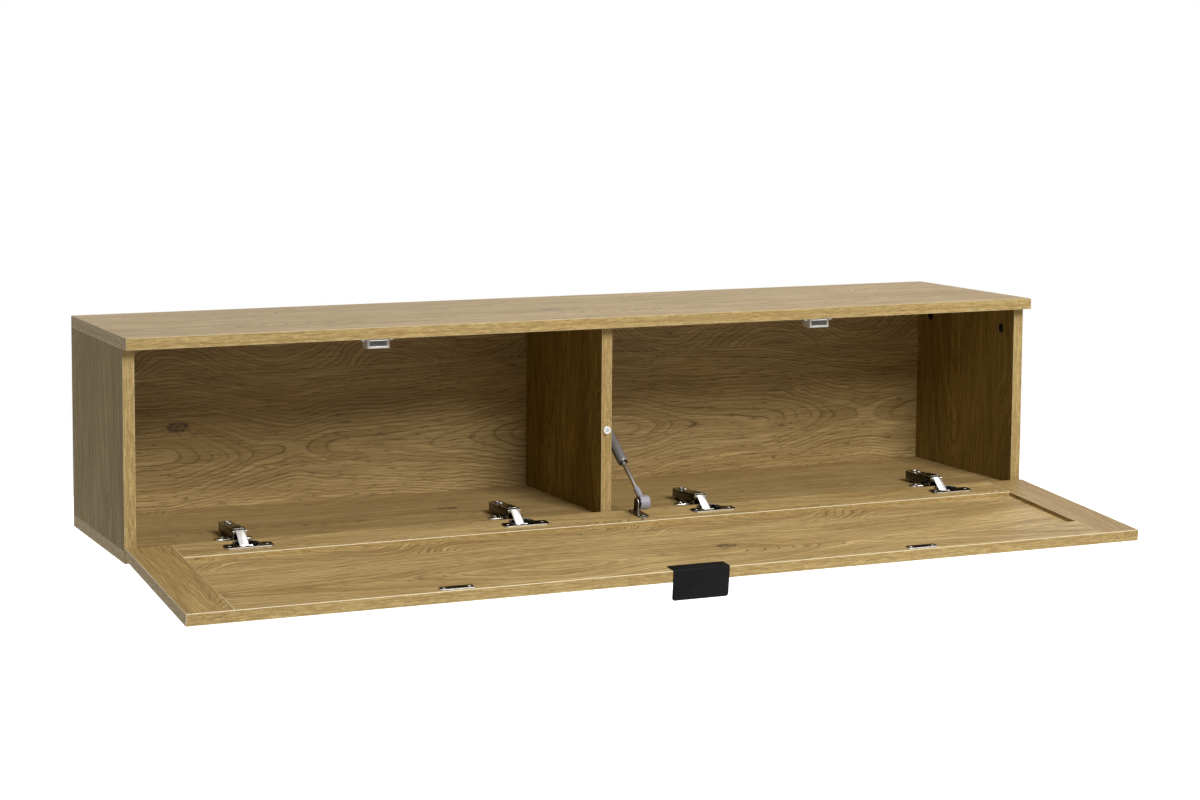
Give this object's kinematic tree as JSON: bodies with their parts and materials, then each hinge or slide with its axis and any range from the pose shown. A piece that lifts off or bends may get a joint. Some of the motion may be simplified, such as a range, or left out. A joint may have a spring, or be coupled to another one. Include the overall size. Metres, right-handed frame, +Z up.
{
  "type": "floating media console",
  "caption": "Wall-hung oak media console: a long case with a divider, a full-width drop-down flap on concealed hinges, a soft-down strut, magnetic catches and a black pull tab.",
  "frame": {"origin": "on the wall plane, midway between the inner pair of holes in the steel wall rail, at their height", "axes": "+X along the length, to the right of someone facing the front; +Y towards the wall; +Z up"},
  "size_m": [1.4, 0.5681, 0.3455],
  "materials": {
    "case_board": "satin oak foil and edging",
    "back_board": "satin oak foil",
    "pine_batten": "planed, unfinished",
    "zinc_rail": "zinc plated",
    "cam_zinc": "dark cast zinc",
    "beech_dowel": "fluted beech",
    "screw_steel": "zinc plated",
    "hinge_steel": "nickel plated",
    "pin_steel": "bright",
    "flap_oak": "satin oak foil",
    "flap_panel_oak": "satin oak foil",
    "catch_plastic": "moulded",
    "catch_iron": "steel pole plates and a ferrite magnet",
    "bumper_plastic": "moulded",
    "handle_black": "matt black powder coat",
    "socket_plastic": "moulded",
    "rod_chrome": "polished",
    "tube_paint": "semi-gloss grey",
    "guide_plastic": "moulded"
  },
  "bodies": {
    "case": {"back_panel": "back_board", "bottom_panel": "case_board", "bumper_screw": "screw_steel", "cabinet_hook_rail": "zinc_rail", "cam_bolts": "cam_zinc", "cam_locks": "cam_zinc", "case_hardware_screws": "screw_steel", "catch_housing_left": "catch_plastic", "catch_housing_right": "catch_plastic", "catch_magnets": "catch_iron", "catch_pole_plates": "catch_iron", "catch_screws": "screw_steel", "centre_divider": "case_board", "confirmat_screws": "screw_steel", "door_bumper": "bumper_plastic", "hanging_batten": "pine_batten", "hinge_arm_1": "hinge_steel", "hinge_arm_2": "hinge_steel", "hinge_arm_3": "hinge_steel", "hinge_arm_4": "hinge_steel", "hinge_arm_screws": "screw_steel", "hinge_plate_1": "hinge_steel", "hinge_plate_2": "hinge_steel", "hinge_plate_3": "hinge_steel", "hinge_plate_4": "hinge_steel", "hook_rail_screws": "screw_steel", "left_side_panel": "case_board", "right_side_panel": "case_board", "strut_upper_bracket": "hinge_steel", "top_panel": "case_board", "wall_rail": "zinc_rail", "wood_dowels": "beech_dowel"},
    "hinge_links": {"hinge_strap_1": "hinge_steel", "hinge_strap_2": "hinge_steel", "hinge_strap_3": "hinge_steel", "hinge_strap_4": "hinge_steel", "hinge_pins": "pin_steel"},
    "flap": {"flap_left_stile": "flap_oak", "flap_right_stile": "flap_oak", "flap_hinge_rail": "flap_oak", "flap_handle_rail": "flap_oak", "flap_centre_panel": "flap_panel_oak", "hinge_cup_1": "hinge_steel", "hinge_cup_2": "hinge_steel", "hinge_cup_3": "hinge_steel", "hinge_cup_4": "hinge_steel", "strike_plate_left": "hinge_steel", "strike_plate_right": "hinge_steel", "strike_screws": "screw_steel", "flap_hardware_screws": "screw_steel", "handle_tab": "handle_black", "handle_screws": "handle_black", "strut_lower_bracket": "hinge_steel"},
    "strut_rod_end": {"strut_rod": "rod_chrome", "strut_lower_socket": "socket_plastic", "strut_piston": "guide_plastic"},
    "strut_tube_end": {"strut_tube": "tube_paint", "strut_upper_socket": "socket_plastic", "strut_rod_guide": "guide_plastic", "strut_upper_stud": "hinge_steel"}
  },
  "joints": [
    {"name": "hinge_link_swing", "type": "hinge", "parent": "case", "child": "hinge_links", "pos_m": [0, -0.278, -0.1925], "axis": [1, 0, 0], "range_deg": [0, 19.56]},
    {"name": "flap_swing", "type": "hinge", "parent": "hinge_links", "child": "flap", "pos_m": [0, -0.29552, -0.20894], "axis": [-1, 0, 0], "range_deg": [0, 115.3]},
    {"name": "strut_foot_swing", "type": "hinge", "parent": "flap", "child": "strut_rod_end", "pos_m": [0.0395, -0.31803, -0.1865], "axis": [1, 0, 0], "range_deg": [0, 106.8]},
    {"name": "strut_slide", "type": "slide", "parent": "strut_rod_end", "child": "strut_tube_end", "axis": [0, -0.808, -0.5892], "range_m": [0, 0.0356]}
  ],
  "couplings": [
    {"joint": "flap_swing", "follows": "hinge_link_swing", "ratio": 5.8816},
    {"joint": "strut_foot_swing", "follows": "hinge_link_swing", "ratio": 5.4463},
    {"joint": "strut_slide", "follows": "hinge_link_swing", "m_per_rad": 0.10387}
  ]
}
